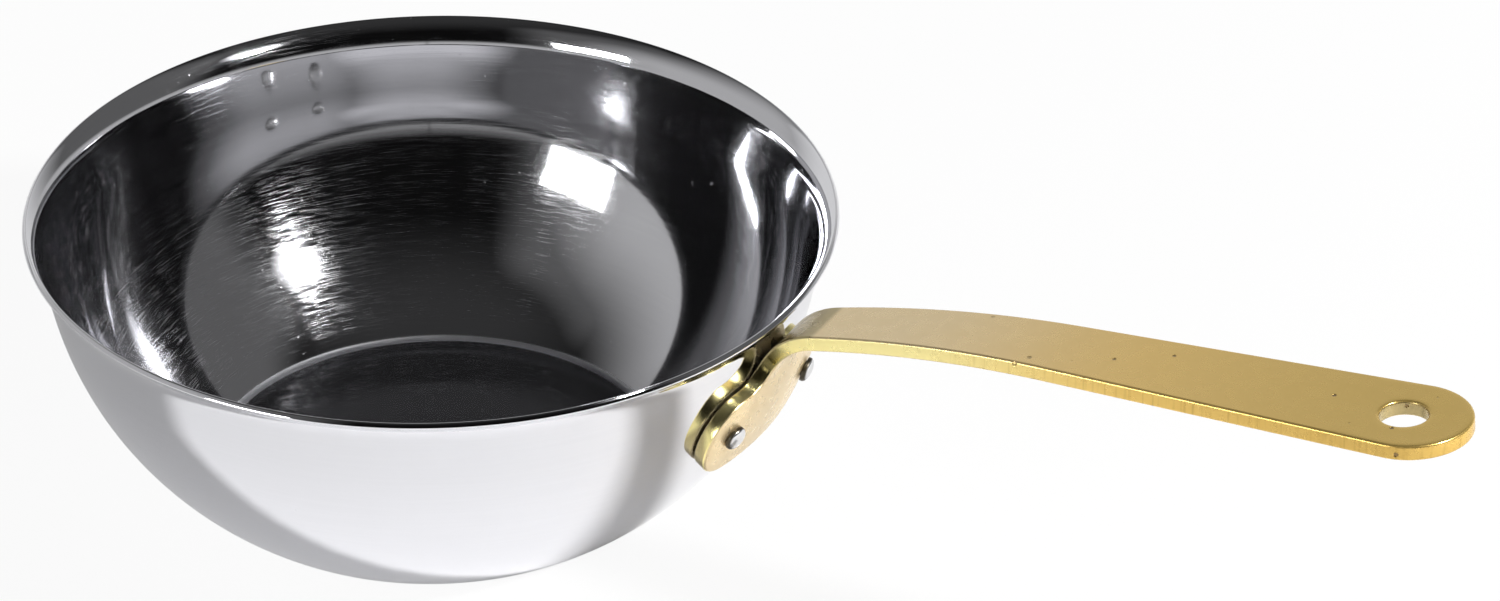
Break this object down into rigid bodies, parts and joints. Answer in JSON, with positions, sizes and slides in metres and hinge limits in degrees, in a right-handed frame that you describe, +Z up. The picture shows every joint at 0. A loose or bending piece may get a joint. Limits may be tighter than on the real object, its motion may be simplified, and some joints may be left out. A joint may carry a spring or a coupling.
{
  "type": "wok",
  "caption": "Small flat-bottomed wok: a deep polished steel bowl with a flared pouring lip and a tapered brass strap handle, riveted on by a curved plate.",
  "frame": {"origin": "centre of the flat underside of the base, on the surface that the wok stands on", "axes": "+Z up along the bowl's axis, +X from the bowl's axis along the handle to its tip"},
  "size_m": [0.3751, 0.1996, 0.0913],
  "materials": {
    "bowl_steel": "mirror-polished stainless steel with fine circular polishing lines inside",
    "handle_brass": "satin brass with small pits and eased edges",
    "rivet_steel": "bright steel, tumbled smooth"
  },
  "bodies": {
    "root": {"bowl": "bowl_steel", "handle": "handle_brass", "rivet_left": "rivet_steel", "rivet_right": "rivet_steel"}
  },
  "joints": []
}
